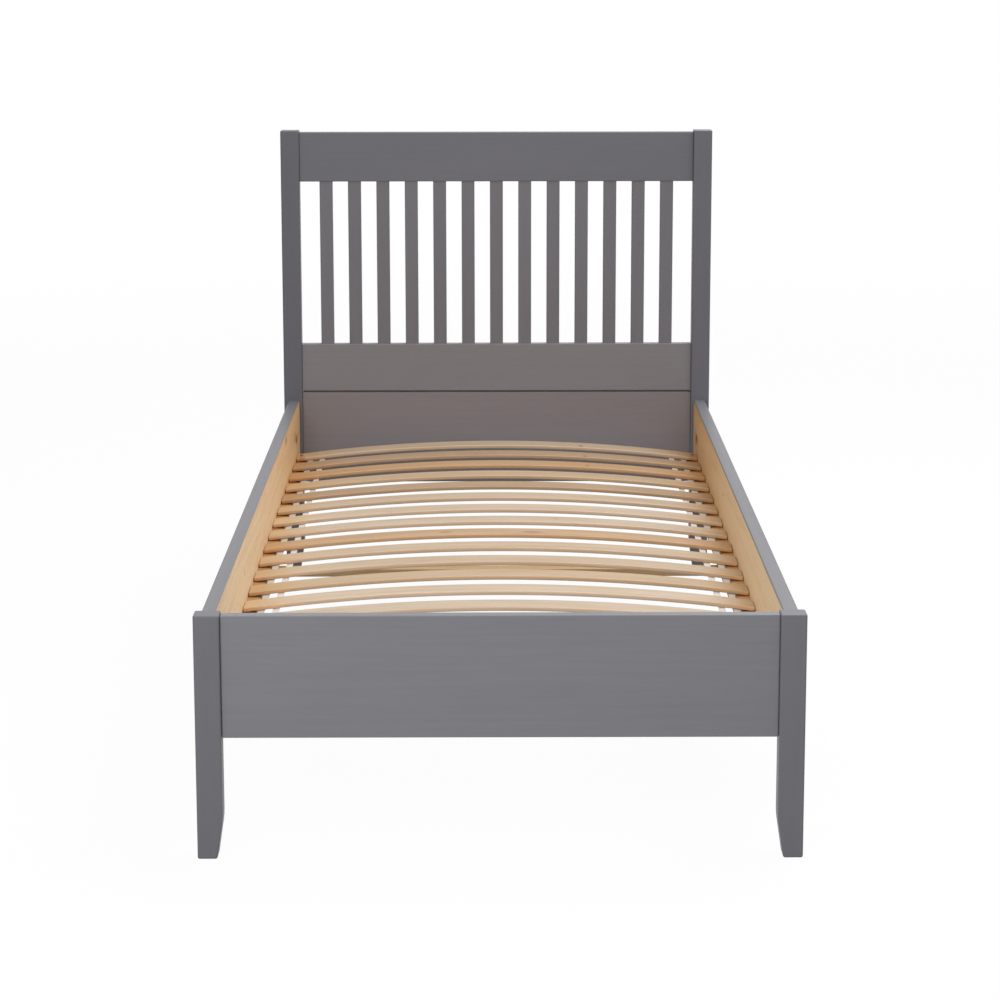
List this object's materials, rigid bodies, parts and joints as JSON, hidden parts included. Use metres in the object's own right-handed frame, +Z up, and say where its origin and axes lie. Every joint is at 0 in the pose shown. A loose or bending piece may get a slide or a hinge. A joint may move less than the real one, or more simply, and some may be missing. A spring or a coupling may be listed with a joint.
{
  "type": "slatted bed frame",
  "caption": "Single bed frame in grey painted pine with a slatted headboard, low footboard, bolted side rails and a base of bowed wooden slats.",
  "frame": {"origin": "on the floor, in the middle of the bed's width and length", "axes": "+Z up, +Y along the bed from the footboard to the headboard, +X to the right as seen from the foot of the bed"},
  "size_m": [0.98, 1.98, 1.024],
  "materials": {
    "painted_grey": "satin grey paint on pine, grain faintly showing",
    "bare_pine": "sanded bare pine with small knots",
    "slat_wood": "smooth laminated wood, clear",
    "dowel_beech": "bare turned wood",
    "webbing": "woven off-white tape",
    "zinc_steel": "zinc plated",
    "bronzed_steel": "bronze passivated"
  },
  "bodies": {
    "root": {"head_post_left": "painted_grey", "head_post_right": "painted_grey", "headboard_top_rail": "painted_grey", "headboard_spindle_01": "painted_grey", "headboard_spindle_02": "painted_grey", "headboard_spindle_03": "painted_grey", "headboard_spindle_04": "painted_grey", "headboard_spindle_05": "painted_grey", "headboard_spindle_06": "painted_grey", "headboard_spindle_07": "painted_grey", "headboard_spindle_08": "painted_grey", "headboard_spindle_09": "painted_grey", "headboard_spindle_10": "painted_grey", "headboard_spindle_11": "painted_grey", "headboard_spindle_12": "painted_grey", "headboard_spindle_13": "painted_grey", "headboard_middle_board": "painted_grey", "headboard_lower_board": "painted_grey", "foot_post_left": "painted_grey", "foot_post_right": "painted_grey", "footboard_panel": "painted_grey", "side_rail_left": "painted_grey", "side_rail_right": "painted_grey", "slat_ledge_left": "bare_pine", "slat_ledge_right": "bare_pine", "slat_01": "slat_wood", "slat_02": "slat_wood", "slat_03": "slat_wood", "slat_04": "slat_wood", "slat_05": "slat_wood", "slat_06": "slat_wood", "slat_07": "slat_wood", "slat_08": "slat_wood", "slat_09": "slat_wood", "slat_10": "slat_wood", "slat_11": "slat_wood", "slat_12": "slat_wood", "slat_13": "slat_wood", "slat_14": "slat_wood", "slat_15": "slat_wood", "slat_16": "slat_wood", "centre_crossbar": "bare_pine", "slat_tape_left_outer": "webbing", "slat_tape_left_inner": "webbing", "slat_tape_right_inner": "webbing", "slat_tape_right_outer": "webbing", "tape_staples": "zinc_steel", "slat_screws": "bronzed_steel", "ledge_screws": "zinc_steel", "crossbar_screws": "zinc_steel", "rail_bolts": "zinc_steel", "threaded_inserts": "zinc_steel", "half_moon_washers": "zinc_steel", "rail_nuts": "zinc_steel", "rail_dowels": "dowel_beech", "headboard_dowels": "dowel_beech", "footboard_dowels": "dowel_beech"}
  },
  "joints": []
}
